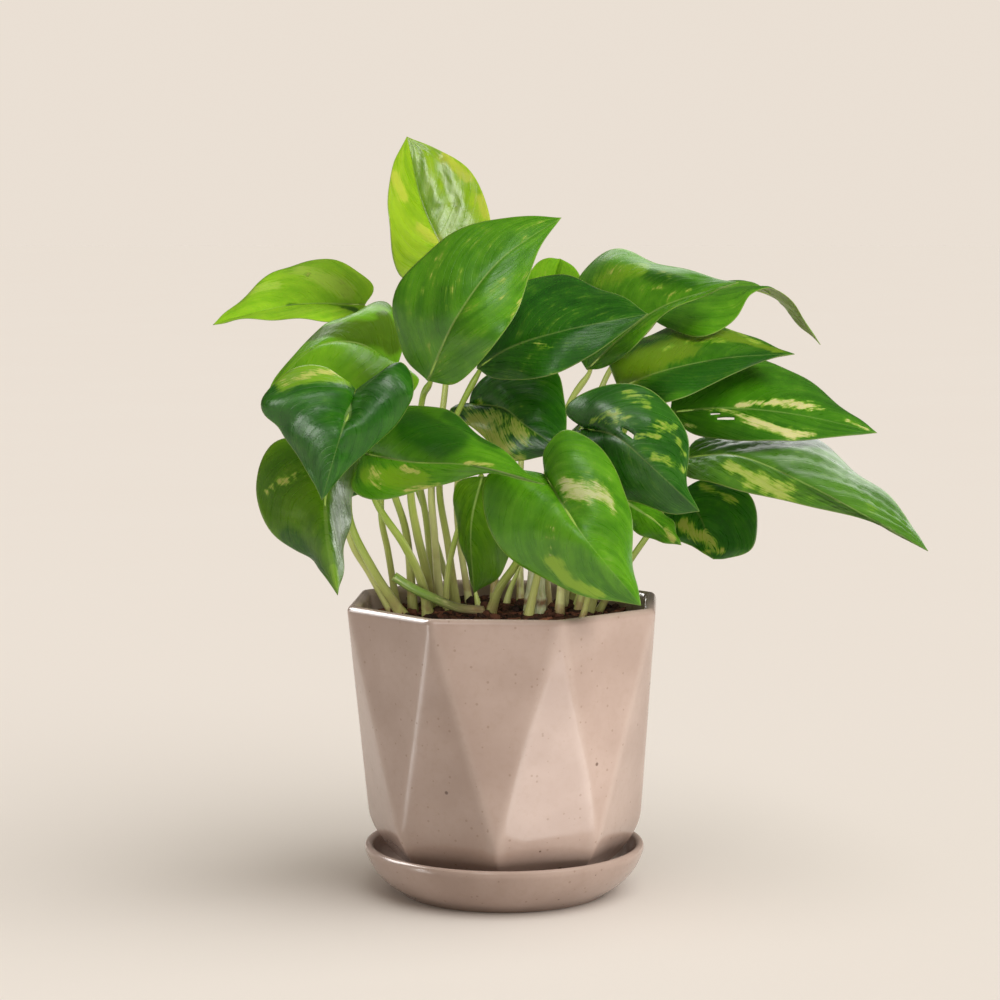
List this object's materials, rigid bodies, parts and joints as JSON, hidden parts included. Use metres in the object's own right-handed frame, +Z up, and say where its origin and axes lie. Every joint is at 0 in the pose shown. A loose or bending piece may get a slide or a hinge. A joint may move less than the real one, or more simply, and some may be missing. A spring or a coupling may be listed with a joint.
{
  "type": "potted pothos plant",
  "caption": "Trailing heart-leaved houseplant in a faceted glazed ceramic pot that stands on a shallow round saucer.",
  "frame": {"origin": "centre of the saucer's flat underside, on the surface the plant stands on", "axes": "+Z up; -Y is the front of the plant; +X is the viewer's right from the front"},
  "size_m": [0.2551, 0.1597, 0.2771],
  "materials": {
    "glaze": "taupe-pink glaze with fine dark specks, soft gloss",
    "soil": "dark crumbly potting mix with reddish fibre",
    "leaf_light": "waxy lime green leaf with yellow flecks",
    "leaf_mid": "waxy mid green leaf with cream and yellow streaks",
    "leaf_dark": "waxy dark green leaf with yellow-green patches",
    "stalk": "smooth yellow-green leaf stalk",
    "cutting": "dull pale stem and dry sheath"
  },
  "bodies": {
    "root": {"cutting": "cutting", "leaf_back_left": "leaf_mid", "leaf_back_low": "leaf_dark", "leaf_back_low_left": "leaf_dark", "leaf_back_right": "leaf_mid", "leaf_back_top": "leaf_mid", "leaf_behind_centre": "leaf_light", "leaf_centre_back": "leaf_dark", "leaf_centre_dark": "leaf_dark", "leaf_centre_low": "leaf_dark", "leaf_crown": "leaf_light", "leaf_far_left": "leaf_light", "leaf_far_right_top": "leaf_mid", "leaf_front_right": "leaf_mid", "leaf_front_tall": "leaf_mid", "leaf_left_arch": "leaf_light", "leaf_left_front": "leaf_dark", "leaf_left_low": "leaf_dark", "leaf_low_small": "leaf_mid", "leaf_mid_left": "leaf_mid", "leaf_right_long": "leaf_mid", "leaf_right_low": "leaf_dark", "leaf_right_mid": "leaf_dark", "leaf_right_round": "leaf_dark", "leaf_right_upper": "leaf_light", "leaf_upper_right": "leaf_mid", "pot": "glaze", "saucer": "glaze", "sheath_left": "cutting", "sheath_mid": "cutting", "sheath_right": "cutting", "soil": "soil", "stalk_back_left": "stalk", "stalk_back_low": "stalk", "stalk_back_low_left": "stalk", "stalk_back_right": "stalk", "stalk_back_top": "stalk", "stalk_behind_centre": "stalk", "stalk_centre_back": "stalk", "stalk_centre_dark": "stalk", "stalk_centre_low": "stalk", "stalk_crown": "stalk", "stalk_far_left": "stalk", "stalk_far_right_top": "stalk", "stalk_front_right": "stalk", "stalk_front_tall": "stalk", "stalk_left_arch": "stalk", "stalk_left_front": "stalk", "stalk_left_low": "stalk", "stalk_low_small": "stalk", "stalk_mid_left": "stalk", "stalk_right_long": "stalk", "stalk_right_low": "stalk", "stalk_right_mid": "stalk", "stalk_right_round": "stalk", "stalk_right_upper": "stalk", "stalk_upper_right": "stalk", "stub": "cutting"}
  },
  "joints": []
}
